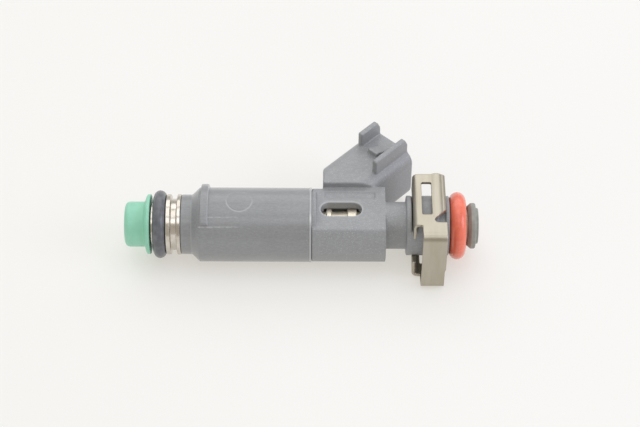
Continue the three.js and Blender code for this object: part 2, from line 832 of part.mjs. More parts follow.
function filterMesh() {
  const radius = tubeHeadBore - seatGap - filterGap - filterWall - 2 * seatGap;
  const start = headStart + filterSetback + filterFloor + seatGap;
  return tube(start, tubeEnd - filterRecess - meshRecess, radius - meshThickness, radius, smallSides);
}

// ---------------------------------------------------------------- spring-steel clip

// The lower bend of the clip's U, drawn square to X, as [y, z] points.
function clipBendPoints(half, web, bend) {
  return Array.from({ length: 6 }, (_, i) => {
    const angle = Math.PI + i * Math.PI / 10;
    return [web + bend + bend * Math.cos(angle), bend - half + bend * Math.sin(angle)];
  });
}

function clipStrip(start, end, top) {
  const outer = clipBendPoints(clipHalf, clipWeb, clipBend);
  const inner = clipBendPoints(clipHalf - clipSheet, clipWeb + clipSheet, clipBend - clipSheet);
  const mirrored = (points) => points.map(([y, z]) => [y, -z]).reverse();
  const outline = [
    [top, clipHalf],
    ...mirrored(outer),
    ...outer,
    [top, -clipHalf],
    [top, clipSheet - clipHalf],
    ...[...inner].reverse(),
    ...mirrored(inner).reverse(),
    [top, clipHalf - clipSheet],
  ];
  const shape = new THREE.Shape(outline.map(([y, z]) => new THREE.Vector2(y, z)));
  return solid(acrossAxis(shape, start, end - start));
}

// A section drawn square to Y (first axis +X, second +Z), pulled from the leg's free end down to
// the given height, on either side of the middle plane.
function downLeg(shape, bottom, side) {
  const turn = new THREE.Matrix4().makeBasis(
    new THREE.Vector3(1, 0, 0), new THREE.Vector3(0, 0, 1), new THREE.Vector3(0, -1, 0));
  const geometry = extruded(shape, clipTop - bottom, 4).applyMatrix4(turn).translate(0, clipTop, 0);
  if (side > 0) return solid(geometry);
  return solid(geometry.rotateX(Math.PI).translate(0, clipTop + bottom, 0));
}

// One gripping flange and leg edge, with a rounded bend between them.
function clipFlange(side) {
  const shape = new THREE.Shape();
  const joinX = clipWebLeft;
  const bendX = clipLeft + clipEdgeBend;
  const bendZ = clipHalf - clipEdgeBend;
  shape.moveTo(joinX, clipHalf);
  shape.lineTo(bendX, clipHalf);
  shape.absarc(bendX, bendZ, clipEdgeBend, Math.PI / 2, Math.PI, false);
  shape.lineTo(clipLeft, clipInner);
  shape.lineTo(clipLeft + clipSheet, clipInner);
  shape.lineTo(clipLeft + clipSheet, bendZ);
  shape.absarc(bendX, bendZ, clipEdgeBend - clipSheet, Math.PI, Math.PI / 2, true);
  shape.lineTo(joinX, clipHalf - clipSheet);
  return downLeg(shape, clipFlangeEnd, side);
}

// The rolled lip along the other edge of a leg: an arched strip, its lower corner cut at a slant.
function clipLip(side) {
  const start = clipRight - lipWidth;
  const shape = new THREE.Shape();
  const steps = 6;
  const arch = (t) => lipRise * Math.sin(Math.PI * Math.min(1, t * 1.35));
  const rise = (t) => clipHalf + arch(t) - lipCurl * t ** 6;
  for (let i = 0; i <= steps; i += 1) {
    const t = i / steps;
    shape[i === 0 ? 'moveTo' : 'lineTo'](start + t * lipWidth, rise(t));
  }
  for (let i = steps; i >= 0; i -= 1) {
    const t = i / steps;
    shape.lineTo(start + t * lipWidth - (i === steps ? 0.25 : 0), rise(t) - clipSheet);
  }
  const bottom = notchHeight + notchRadius;
  const corner = new THREE.Shape();
  corner.moveTo(clipRight - lipWidth + 1, bottom - 0.01);
  corner.lineTo(clipRight + 1, bottom - 0.01);
  corner.lineTo(clipRight + 1, bottom + lipSlant + 1);
  const cut = extruded(corner, clear).translate(0, 0, side > 0 ? 0 : -clear);
  return downLeg(shape, bottom, side).subtract(solid(cut));
}

function retainingClip() {
  const lipStart = clipRight - lipWidth;
  const web = clipStrip(clipWebLeft, clipRight, clipFlangeEnd - 0.6);
  const legs = clipStrip(clipWebLeft - 0.5, lipStart + 0.02, clipTop);
  const behind = solid(block(0, 100, -clear, clipFlangeEnd + 0.6, -clear, clear));
  const lower = clipStrip(lipStart, clipRight, notchHeight - notchRadius);
  let clip = legs.subtract(behind).add(web).add(lower);
  const low = block(0, clipWebLeft - 0.005, -clear, clipFlangeEnd - 1e-3, -clear, clear);
  clip = clip.subtract(solid(low));
  const notchX = clipRight - notchDepth + notchRadius;
  for (const side of [-1, 1]) {
    clip = clip.add(clipFlange(side)).add(clipLip(side));
    const window = sideBlock(clipLeft + windowInset, clipLeft + windowInset + windowWidth,
      windowBottom, windowTop, side, clipHalf - 3, clipHalf + 3);
    const notch = new THREE.CylinderGeometry(notchRadius, notchRadius, 6, 12)
      .rotateX(Math.PI / 2).translate(notchX, notchHeight, side * clipHalf);
    const mouth = sideBlock(notchX, clipRight + 1,
      notchHeight - notchRadius, notchHeight + notchRadius, side, clipHalf - 3, clipHalf + 3);
    clip = clip.subtract(solid(window)).subtract(solid(notch)).subtract(solid(mouth));
  }
  return clip;
}

// ---------------------------------------------------------------- the assembly

piece('nozzle_cap', nozzleCap(), ...greenPlastic);
piece('lower_o_ring', sealRing(lowerSealCentre, lowerSealWidth), '#3a3d42', 0.5, 0);
piece('nozzle_barrel', nozzleBarrel(), ...brightSteel);
piece('orifice_plate', orificePlate(), ...steel);
piece('valve_seat', valveSeat(), ...steel);
piece('ball_guide', ballGuide(), ...steel);
piece('valve_ball', valveBall(), ...brightSteel);
piece('needle_rod', tube(rodStart, pocketStart - rodRecess, rodBore, rodRadius, smallSides), ...steel);
piece('armature', armature(), '#9a9a98', 0.4, 1);
piece('return_spring', returnSpring(), ...steel);
piece('spring_adjuster', springAdjuster(), ...steel);
piece('pole_piece', polePiece(), '#9a9a98', 0.4, 1);
piece('armature_sleeve', tube(canStart, washerEnd, sleeveBore, sleeveRadius), ...brightSteel);
piece('coil_bobbin', coilBobbin(), '#2b2b2b', 0.6, 0);
piece('coil_winding', coilWinding(), '#b06a3a', 0.35, 1);
piece('solenoid_can', solenoidCan(), '#8c8c8a', 0.4, 1);
piece('can_washer', canWasher(), '#8c8c8a', 0.4, 1);
piece('barrel_sleeve', barrelSleeve(), ...greyPlastic);
piece('connector_body', connectorBody(), ...greyPlastic);
piece('terminal_pin_1', pinBlocks(1, 0), '#c9c4b0', 0.3, 1);
piece('terminal_pin_2', pinBlocks(-1, 0), '#c9c4b0', 0.3, 1);
piece('inlet_tube', inletTube(), ...steel);
piece('inlet_disc', inletDisc(), '#9ea39a', 0.45, 0);
piece('filter_frame', filterFrame(), '#54504a', 0.5, 0);
piece('filter_mesh', filterMesh(), '#a8a49a', 0.4, 1);
piece('upper_o_ring', sealRing(upperSealCentre, upperSealWidth, 14), '#c8503a', 0.4, 0);
piece('retaining_clip', retainingClip(), '#c0b8a2', 0.3, 1);

assembly.position.x = -upperSealCentre;

export default assembly;
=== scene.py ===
import math
import bpy
import numpy as np
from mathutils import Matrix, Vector


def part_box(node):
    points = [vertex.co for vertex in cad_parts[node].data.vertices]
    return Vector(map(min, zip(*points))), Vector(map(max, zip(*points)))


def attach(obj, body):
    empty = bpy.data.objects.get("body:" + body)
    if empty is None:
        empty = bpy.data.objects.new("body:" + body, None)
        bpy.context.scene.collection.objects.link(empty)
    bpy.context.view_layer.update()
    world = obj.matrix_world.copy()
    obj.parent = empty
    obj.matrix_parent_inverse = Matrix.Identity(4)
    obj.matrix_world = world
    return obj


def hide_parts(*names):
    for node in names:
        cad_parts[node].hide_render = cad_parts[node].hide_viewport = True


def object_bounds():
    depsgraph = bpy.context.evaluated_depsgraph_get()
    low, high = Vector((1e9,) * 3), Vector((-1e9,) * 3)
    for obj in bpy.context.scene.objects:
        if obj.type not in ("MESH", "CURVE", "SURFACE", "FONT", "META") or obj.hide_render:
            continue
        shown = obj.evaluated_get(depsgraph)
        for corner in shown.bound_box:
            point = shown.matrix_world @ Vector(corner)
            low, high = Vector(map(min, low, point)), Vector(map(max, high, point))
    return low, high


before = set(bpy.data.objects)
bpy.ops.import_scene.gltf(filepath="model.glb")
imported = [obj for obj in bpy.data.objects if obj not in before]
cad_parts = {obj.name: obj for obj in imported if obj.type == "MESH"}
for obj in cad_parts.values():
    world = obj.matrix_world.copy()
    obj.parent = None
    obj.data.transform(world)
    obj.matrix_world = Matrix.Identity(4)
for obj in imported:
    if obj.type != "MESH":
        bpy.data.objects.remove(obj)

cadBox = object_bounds()
mm = 0.001
print("frame loaded", len(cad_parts), "nodes")

# ---- helpers: everything below is worked out in millimetres in the frame's own axes


def boxOf(node):
    low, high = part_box(node)
    return np.array(low) / mm, np.array(high) / mm


def putMesh(name, points, faces, material, slotName, body, *nodes):
    # points in mm as an (n, 3) array, faces as an (m, 4) or (m, 3) array of indices
    mesh = bpy.data.meshes.new(name)
    faces = np.asarray(faces, dtype=np.int32)
    count, corners = faces.shape
    mesh.vertices.add(len(points))
    mesh.vertices.foreach_set("co", (np.asarray(points) * mm).astype(np.float32).ravel())
    mesh.loops.add(count * corners)
    mesh.loops.foreach_set("vertex_index", faces.ravel())
    mesh.polygons.add(count)
    mesh.polygons.foreach_set("loop_start", np.arange(0, count * corners, corners, dtype=np.int32))
    mesh.polygons.foreach_set("use_smooth", np.ones(count, dtype=bool))
    mesh.update(calc_edges=True)
    mesh.validate()
    piece = bpy.data.objects.new(name, mesh)
    bpy.context.scene.collection.objects.link(piece)
    mesh.materials.append(material)
    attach(piece, body)
    if nodes:
        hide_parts(*nodes)
    return piece


def paintHighlight(piece, share):
    # a share from 0 to 1 at each point, which the nylon's material reads as its painted highlights
    layer = piece.data.attributes.new("paintedHighlight", "FLOAT", "POINT")
    layer.data.foreach_set("value", np.clip(share, 0, 1).astype(np.float32))


def hump(value, middle, width):
    return np.exp(-((value - middle) / width) ** 2)


def roundedOutline(corners, steps=5, hold=0.04):
    # corners are (station, radius, rounding); each corner becomes an arc tangent to both sides,
    # with one holding point just outside each end of the arc so that flat walls shade flat
    corners = np.array(corners, dtype=float)
    points = []
    count = len(corners)
    for i, (x, r, rounding) in enumerate(corners):
        here = np.array([x, r])
        before = corners[i - 1][:2] - here
        after = corners[(i + 1) % count][:2] - here
        before /= np.linalg.norm(before)
        after /= np.linalg.norm(after)
        if rounding <= 0:
            points.append(here)
            continue
        half = 0.5 * math.acos(np.clip(before @ after, -1, 1))
        reach = rounding / math.tan(half)
        centre = here + (before + after) / np.linalg.norm(before + after) * rounding / math.sin(half)
        start = here + before * reach - centre
        end = here + after * reach - centre
        turn = math.atan2(start[0] * end[1] - start[1] * end[0], start @ end)
        angles = np.linspace(0, turn, steps + 1)[:, None]
        side = np.array([-start[1], start[0]])
        points.append(here + before * (reach + hold))
        points.extend(centre + start * np.cos(angles) + side * np.sin(angles))
        points.append(here + after * (reach + hold))
    return np.array(points)


def gridFaces(rows, columns, closeRows, closeColumns):
    # quads between neighbours of a rows by columns grid of points, wrapped where asked
    a = np.arange(rows if closeRows else rows - 1)[:, None]
    b = np.arange(columns if closeColumns else columns - 1)[None, :]
    nextA = (a + 1) % rows
    nextB = (b + 1) % columns
    quads = [a * columns + b, a * columns + nextB, nextA * columns + nextB, nextA * columns + b]
    return np.stack([np.broadcast_to(q, (a.size, b.size)) for q in quads], axis=-1).reshape(-1, 4)


def turned(outline, sides=144, lift=None):
    # point(i, angle) = (station i, radius i * cos angle, radius i * sin angle); lift adds to the
    # radius as a function of station, radius and angle
    outline = np.asarray(outline)
    x, r = outline.T
    area = np.sum(x * np.roll(r, -1) - np.roll(x, -1) * r)
    if area > 0:
        outline = outline[::-1]
    angle = np.arange(sides) * 2 * math.pi / sides
    station = np.broadcast_to(outline[:, :1], (len(outline), sides))
    radius = np.broadcast_to(outline[:, 1:], (len(outline), sides)).copy()
    if lift is not None:
        radius = radius + lift(station, radius, angle[None, :])
    points = np.stack([station, radius * np.cos(angle), radius * np.sin(angle)], axis=-1)
    return points.reshape(-1, 3), gridFaces(len(outline), sides, True, True)


def fieldSurface(field, low, high, step):
    # the zero surface of a distance field: one vertex in each cell that the surface crosses, at the
    # mean of its edge crossings, then pulled onto the surface along the field's gradient
    axes = [np.arange(low[k], high[k] + step, step) for k in range(3)]
    shape = tuple(len(a) for a in axes)
    values = np.empty(shape, dtype=np.float32)
    for i in range(0, shape[0], 24):
        x, y, z = np.meshgrid(axes[0][i:i + 24], axes[1], axes[2], indexing="ij")
        values[i:i + 24] = field(x, y, z)
    inside = values < 0
    corner = [(i, j, k) for i in (0, 1) for j in (0, 1) for k in (0, 1)]
    part = [inside[tuple(slice(c[k], c[k] + shape[k] - 1) for k in range(3))] for c in corner]
    total = np.sum(part, axis=0, dtype=np.int8)
    cell = np.argwhere((total > 0) & (total < 8))
    number = np.full(tuple(n - 1 for n in shape), -1, dtype=np.int64)
    number[tuple(cell.T)] = np.arange(len(cell))
    summed = np.zeros((len(cell), 3))
    hits = np.zeros(len(cell))
    for a in corner:
        for k in range(3):
            if a[k]:
                continue
            b = list(a)
            b[k] = 1
            first = values[tuple((cell + a).T)].astype(float)
            second = values[tuple((cell + b).T)].astype(float)
            crosses = (first < 0) != (second < 0)
            share = np.where(crosses, first / np.where(crosses, first - second, 1), 0)
            place = cell + np.array(a, dtype=float)
            place[:, k] += share
            summed += place * crosses[:, None]
            hits += crosses
    points = summed / hits[:, None] * step + [a[0] for a in axes]
    h = 0.02
    for _ in range(3):
        x, y, z = points.T
        value = field(x, y, z)
        slope = np.stack([
            field(x + h, y, z) - field(x - h, y, z),
            field(x, y + h, z) - field(x, y - h, z),
            field(x, y, z + h) - field(x, y, z - h)], axis=1) / (2 * h)
        move = -value[:, None] * slope / np.maximum((slope ** 2).sum(axis=1), 0.2)[:, None]
        points = points + np.clip(move, -0.4 * step, 0.4 * step)
    faces = []
    for k in range(3):
        u, v = (k + 1) % 3, (k + 2) % 3
        start = [slice(None)] * 3
        end = [slice(None)] * 3
        start[k] = slice(0, shape[k] - 1)
        end[k] = slice(1, shape[k])
        change = inside[tuple(start)] != inside[tuple(end)]
        edge = np.argwhere(change)
        within = (edge[:, [u, v]] > 0) & (edge[:, [u, v]] < np.array([shape[u], shape[v]]) - 1)
        edge = edge[within.all(axis=1)]
        ring = []
        for du, dv in ((-1, -1), (0, -1), (0, 0), (-1, 0)):
            near = edge.copy()
            near[:, u] += du
            near[:, v] += dv
            ring.append(number[tuple(near.T)])
        quad = np.stack(ring, axis=1)
        leaving = inside[tuple(edge.T)]
        faces.append(np.where(leaving[:, None], quad, quad[:, ::-1]))
    return points, np.concatenate(faces)


# distance fields; each takes whole arrays and returns millimetres, negative inside

def slabField(value, low, high):
    return np.abs(value - (low + high) / 2) - (high - low) / 2


def meet(a, b, rounding):
    # both at once, the shared edge rounded by an arc of that radius
    u = np.maximum(a + rounding, 0)
    v = np.maximum(b + rounding, 0)
    return np.minimum(-rounding, np.maximum(a, b)) + np.hypot(u, v)


def join(a, b, fillet):
    # either one, the inner corner filled by an arc of that radius
    return -meet(-a, -b, fillet)


def cut(a, b, rounding):
    return meet(a, -b, rounding)


def rodField(x, y, z, low, high, radius, rounding):
    return meet(slabField(x, low, high), np.hypot(y, z) - radius, rounding)


def boxField(x, y, z, low, high, rounding):
    first = meet(slabField(x, low[0], high[0]), slabField(y, low[1], high[1]), rounding)
    return meet(first, slabField(z, low[2], high[2]), rounding)


def roundedRectField(u, v, halfU, halfV, radius):
    a = np.abs(u) - halfU + radius
    b = np.abs(v) - halfV + radius
    return np.hypot(np.maximum(a, 0), np.maximum(b, 0)) + np.minimum(np.maximum(a, b), 0) - radius


# ---- camera, from in front and above

view = {"elevation": 46.0, "distance": 0.41, "lens": 108.0, "aim": (-0.0294, 0.0, 0.00355),
        "roll": 0.3}


def placeCamera():
    data = bpy.data.cameras.new("camera")
    data.lens = view["lens"]
    data.sensor_width = 36.0
    data.clip_start = 0.01
    camera = bpy.data.objects.new("camera", data)
    bpy.context.scene.collection.objects.link(camera)
    up = math.radians(view["elevation"])
    aim = np.array(view["aim"])
    camera.location = aim + view["distance"] * np.array([0, -math.cos(up), math.sin(up)])
    camera.rotation_mode = "XYZ"
    camera.rotation_euler = (math.radians(90) - up, 0, 0)
    camera.rotation_euler.rotate_axis("Z", math.radians(view["roll"]))
    bpy.context.scene.camera = camera


placeCamera()
print("camera placed")

# ---- materials


def linear(hexColour):
    # sRGB hex to linear
    channels = np.array([int(hexColour[i:i + 2], 16) / 255 for i in (1, 3, 5)])
    low = channels / 12.92
    high = ((channels + 0.055) / 1.055) ** 2.4
    return (*np.where(channels <= 0.04045, low, high), 1.0)


def addNode(tree, kind, settings=None, **links):
    node = tree.nodes.new(kind)
    for key, value in (settings or {}).items():
        if isinstance(key, str) and hasattr(node, key):
            setattr(node, key, value)
        else:
            node.inputs[key].default_value = value
    for key, source in links.items():
        name = key.replace("_", " ")
        tree.links.new(source, node.inputs[int(name[5:]) if name.startswith("input") else name])
    return node


def ramp(tree, source, stops):
    node = tree.nodes.new("ShaderNodeValToRGB")
    node.color_ramp.interpolation = "EASE"
    while len(node.color_ramp.elements) < len(stops):
        node.color_ramp.elements.new(0.5)
    for element, (place, colour) in zip(node.color_ramp.elements, stops):
        element.position = place
        element.color = linear(colour)
    tree.links.new(source, node.inputs[0])
    return node.outputs[0]


def startMaterial(name, **settings):
    material = bpy.data.materials.new(name)
    material.use_nodes = True
    tree = material.node_tree
    shader = tree.nodes["Principled BSDF"]
    for key, value in settings.items():
        shader.inputs[key.replace("_", " ")].default_value = value
    place = tree.nodes.new("ShaderNodeTexCoord").outputs["Object"]
    return material, tree, shader, place


def noise(tree, place, sizeMm, detail=2.0, roughness=0.5, stretch=(1, 1, 1)):
    # a noise whose blobs are about sizeMm across
    mapping = addNode(tree, "ShaderNodeMapping", {"Scale": stretch}, Vector=place)
    node = addNode(tree, "ShaderNodeTexNoise",
                   {"Scale": 1 / (sizeMm * mm), "Detail": detail, "Roughness": roughness},
                   Vector=mapping.outputs[0])
    return node.outputs["Fac"]


def mapRange(tree, source, low, high, fromLow=0.3, fromHigh=0.7):
    node = addNode(tree, "ShaderNodeMapRange",
                   {"From Min": fromLow, "From Max": fromHigh, "To Min": low, "To Max": high},
                   Value=source)
    return node.outputs[0]


def bump(tree, shader, height, depthMm, strength=1.0):
    node = addNode(tree, "ShaderNodeBump", {"Strength": strength, "Distance": depthMm * mm},
                   Height=height)
    tree.links.new(node.outputs[0], shader.inputs["Normal"])


def glassFilledNylon(name, fleckShare, dark, light, gloss):
    # PA66 with a third glass fibre, moulded satin: short fibres near the skin make a faint mottle
    # and pale flecks, flow marks cloud the grey, and the tool's finish leaves a fine grain
    material, tree, shader, place = startMaterial(
        name, Roughness=0.42, IOR=1.53, Coat_Weight=gloss, Coat_Roughness=0.22)
    cloud = noise(tree, place, 6.0, 3.0, 0.55, (0.5, 1, 1))
    fibre = noise(tree, place, 0.35, 2.0, 0.7, (0.4, 1, 1))
    cloudColour = ramp(tree, cloud, [(0.3, dark), (0.7, light)])
    fibreColour = ramp(tree, fibre, [(0.35, "#898b8d"), (0.65, "#a0a2a4")])
    mix = addNode(tree, "ShaderNodeMix", {"data_type": "RGBA"})
    mix.inputs["Factor"].default_value = 0.3
    tree.links.new(cloudColour, mix.inputs[6])
    tree.links.new(fibreColour, mix.inputs[7])
    fleck = mapRange(tree, noise(tree, place, 0.22, 1.0, 0.5), 0, fleckShare, 0.6, 0.72)
    flecks = addNode(tree, "ShaderNodeMix", {"data_type": "RGBA"}, Factor=fleck)
    flecks.inputs[7].default_value = linear("#c3c5c6")
    tree.links.new(mix.outputs[2], flecks.inputs[6])
    # painted highlights: the points' attribute mixes the colour toward near white at glints on edges
    # and lines
    paintedHighlight = addNode(tree, "ShaderNodeAttribute", {"attribute_name": "paintedHighlight"})
    highlightMix = addNode(tree, "ShaderNodeMix", {"data_type": "RGBA"}, Factor=paintedHighlight.outputs["Fac"])
    highlightMix.inputs[7].default_value = linear("#e2e4e4")
    tree.links.new(flecks.outputs[2], highlightMix.inputs[6])
    tree.links.new(highlightMix.outputs[2], shader.inputs["Base Color"])
    tree.links.new(mapRange(tree, fibre, 0.36, 0.52), shader.inputs["Roughness"])
    bump(tree, shader, noise(tree, place, 0.22, 2.0, 0.6), 0.012, 0.5)
    return material


def greenNylon():
    # unfilled PA, moulded: slightly milky, light sinks in a little, soft satin skin
    material, tree, shader, place = startMaterial(
        "mouldedNylonGreen", Roughness=0.38, IOR=1.53, Subsurface_Weight=0.12,
        Subsurface_Radius=(0.0006, 0.0012, 0.0009))
    cloud = noise(tree, place, 3.0, 2.0)
    colour = ramp(tree, cloud, [(0.3, "#92d2b6"), (0.7, "#9adabf")])
    tree.links.new(colour, shader.inputs["Base Color"])
    tree.links.new(mapRange(tree, noise(tree, place, 0.4, 2.0), 0.33, 0.45), shader.inputs["Roughness"])
    bump(tree, shader, noise(tree, place, 0.3, 2.0), 0.01, 0.4)
    return material


def blackRubber():
    # nitrile rubber, compression moulded: dark blue-grey, faint bloom and a soft wide sheen
    material, tree, shader, place = startMaterial(
        "nitrileRubberBlack", Roughness=0.4, IOR=1.52, Coat_Weight=0.4, Coat_Roughness=0.15)
    bloom = noise(tree, place, 1.5, 3.0)
    colour = ramp(tree, bloom, [(0.35, "#5a5c61"), (0.7, "#6f7177")])
    tree.links.new(colour, shader.inputs["Base Color"])
    tree.links.new(mapRange(tree, bloom, 0.36, 0.52), shader.inputs["Roughness"])
    bump(tree, shader, noise(tree, place, 0.15, 2.0), 0.008, 0.4)
    return material


def redRubber():
    # fluorocarbon rubber, compression moulded: orange red, smooth, wide pale highlights
    material, tree, shader, place = startMaterial(
        "fluorocarbonRubberRed", Roughness=0.36, IOR=1.5, Coat_Weight=0.6, Coat_Roughness=0.1)
    bloom = noise(tree, place, 1.2, 3.0)
    tree.links.new(ramp(tree, bloom, [(0.3, "#e86a50"), (0.7, "#f2785c")]), shader.inputs["Base Color"])
    tree.links.new(mapRange(tree, noise(tree, place, 0.5, 2.0), 0.26, 0.4), shader.inputs["Roughness"])
    bump(tree, shader, noise(tree, place, 0.2, 2.0), 0.01, 0.35)
    return material


def turnedSteel(name, light, dark, rough, lineMm, depthMm):
    # stainless steel turned on a lathe: fine rings round the axis break the highlight into lines
    material, tree, shader, place = startMaterial(name, Metallic=1.0, Roughness=rough)
    rings = noise(tree, place, lineMm, 3.0, 0.6, (1, 0.02, 0.02))
    cloud = noise(tree, place, 2.0, 2.0)
    tree.links.new(ramp(tree, cloud, [(0.3, dark), (0.7, light)]), shader.inputs["Base Color"])
    tree.links.new(mapRange(tree, rings, rough * 0.8, rough * 1.3), shader.inputs["Roughness"])
    bump(tree, shader, rings, depthMm, 0.6)
    return material


def rolledSpringSteel():
    # cold-rolled stainless strip, stamped and bent: warm grey, long rolling lines, soft scuffs
    material, tree, shader, place = startMaterial("rolledSpringSteel", Metallic=1.0, Roughness=0.34)
    lines = noise(tree, place, 0.25, 3.0, 0.6, (1, 0.04, 0.04))
    scuff = noise(tree, place, 1.8, 2.0, 0.5, (1, 0.2, 0.2))
    tree.links.new(ramp(tree, scuff, [(0.3, "#b1aa9a"), (0.7, "#b7b1a3")]), shader.inputs["Base Color"])
    tree.links.new(mapRange(tree, lines, 0.32, 0.4), shader.inputs["Roughness"])
    bump(tree, shader, lines, 0.003, 0.4)
    return material


def dullMetal(name, light, dark, rough=0.45):
    material, tree, shader, place = startMaterial(name, Metallic=1.0, Roughness=rough)
    cloud = noise(tree, place, 1.2, 3.0)
    tree.links.new(ramp(tree, cloud, [(0.3, dark), (0.7, light)]), shader.inputs["Base Color"])
    bump(tree, shader, noise(tree, place, 0.2, 2.0), 0.006, 0.4)
    return material


def dullPlastic(name, light, dark, rough=0.5):
    material, tree, shader, place = startMaterial(name, Roughness=rough, IOR=1.53)
    cloud = noise(tree, place, 1.5, 3.0)
    tree.links.new(ramp(tree, cloud, [(0.3, dark), (0.7, light)]), shader.inputs["Base Color"])
    bump(tree, shader, noise(tree, place, 0.25, 2.0), 0.01, 0.4)
    return material


barrelNylon = glassFilledNylon("glassFilledNylonBarrel", 0.12, "#818284", "#87898b", 0.8)
bodyNylon = glassFilledNylon("glassFilledNylonBody", 0.5, "#919294", "#96989a", 0.15)
greenCap = greenNylon()
rubberBlack = blackRubber()
rubberRed = redRubber()
polishedSteel = turnedSteel("polishedStainlessSteel", "#d8d2c9", "#c8c1b6", 0.18, 0.12, 0.004)
tubeSteel = turnedSteel("drawnStainlessSteel", "#f6efe0", "#ece4d3", 0.5, 0.2, 0.004)
springSteel = rolledSpringSteel()
discPlastic = dullPlastic("mouldedNylonWarmGrey", "#9c9d96", "#8a8b84")
print("materials made")

# ---- turned and moulded pieces of revolution


def makeCap():
    low, high = boxOf("nozzle_cap")
    cap = {"barrel": 4.85, "edge": 1.0, "flare": 0.4, "flange": 0.9, "hole": 1.9, "bore": 3.55,
           "floor": 1.4}
    flangeAt = high[0] - cap["flange"]
    outline = roundedOutline([
        (low[0], cap["hole"], 0.2),
        (low[0], cap["barrel"], cap["edge"]),
        (flangeAt - cap["flare"], cap["barrel"], 0.35),
        (flangeAt, high[1] - 0.35, 0.2),
        (flangeAt + 0.25, high[1], 0.15),
        (high[0], high[1], 0.15),
        (high[0], cap["bore"], 0.1),
        (low[0] + cap["floor"], cap["bore"], 0.1),
        (low[0] + cap["floor"], cap["hole"], 0.1)])
    putMesh("nozzleCap", *turned(outline), greenCap, "green_cap", "injector", "nozzle_cap")


def makeSeal(name, node, material, slotName):
    # a round section carried round the axis, with the fine moulding flash on its outside and inside
    low, high = boxOf(node)
    radius = (high[0] - low[0]) / 2
    centre = (low[0] + high[0]) / 2
    ring = high[1] - radius
    angle = np.linspace(0, 2 * math.pi, 56, endpoint=False)
    half = angle / 2 - math.pi / 4
    flash = 0.035 * hump(np.sin(half) * np.cos(half), 0, 0.03)
    size = radius - 0.03 + flash
    outline = np.stack([centre + size * np.cos(angle), ring + size * np.sin(angle)], axis=1)
    putMesh(name, *turned(outline, 160), material, slotName, "injector", node)


def makeNozzleBarrel():
    low, high = boxOf("nozzle_barrel")
    cap = boxOf("nozzle_cap")[1][0]
    seal = boxOf("lower_o_ring")
    sleeve = boxOf("barrel_sleeve")[0][0]
    steel = {"bore": 2.6, "tip": 3.5, "seat": 4.5, "first": 6.45, "firstWidth": 1.0,
             "groove": 5.5, "grooveWidth": 1.3, "second": 6.5, "shank": 5.0}
    first = seal[1][0] + 0.05
    groove = first + steel["firstWidth"]
    second = groove + steel["grooveWidth"]
    outline = roundedOutline([
        (low[0], steel["bore"], 0.1),
        (low[0], steel["tip"], 0.3),
        (cap + 0.05, steel["tip"], 0.05),
        (cap + 0.05, steel["seat"], 0.15),
        (first, steel["seat"], 0.15),
        (first, steel["first"], 0.18),
        (groove, steel["first"], 0.18),
        (groove, steel["groove"], 0.2),
        (second, steel["groove"], 0.2),
        (second, steel["second"], 0.2),
        (sleeve - 0.05, steel["second"], 0.15),
        (sleeve - 0.05, steel["shank"], 0.05),
        (high[0], steel["shank"], 0.1),
        (high[0], steel["bore"], 0.1)])
    putMesh("nozzleBarrel", *turned(outline, 160), polishedSteel, "bright_steel", "injector",
            "nozzle_barrel")


